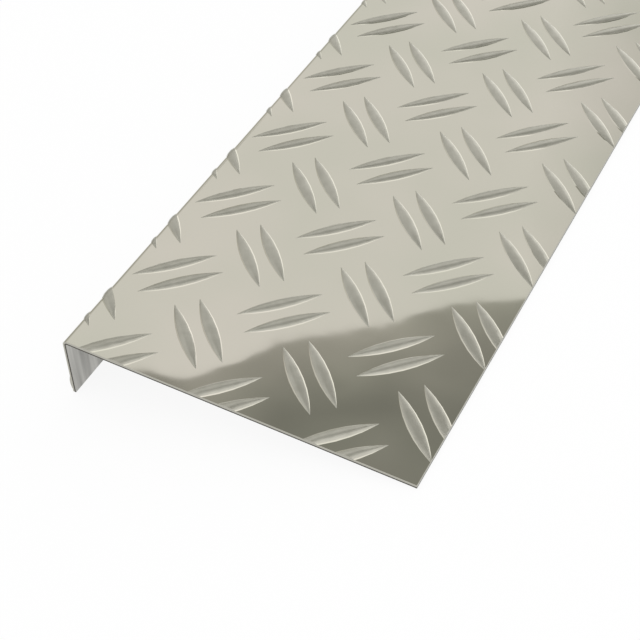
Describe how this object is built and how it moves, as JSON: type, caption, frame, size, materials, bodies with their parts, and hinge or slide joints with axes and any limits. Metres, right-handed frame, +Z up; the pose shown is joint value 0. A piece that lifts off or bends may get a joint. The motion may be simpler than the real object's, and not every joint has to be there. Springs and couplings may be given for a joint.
{
  "type": "embossed aluminium angle",
  "caption": "Long unequal angle folded from embossed aluminium tread sheet, raised lens-shaped lugs in crossed pairs on its outside and a plain underside.",
  "frame": {"origin": "centre of the ground under the angle as it lies on the foot of its lip and the free edge of its wide leg", "axes": "+Y along the length, away from the near end; +X from the lip towards the free edge of the wide leg; +Z up, the tread face upwards"},
  "size_m": [0.102, 1, 0.0196],
  "materials": {
    "tread_plate": "bright rolled mill finish, uncoated"
  },
  "bodies": {
    "root": {"tread_plate_angle": "tread_plate"}
  },
  "joints": []
}
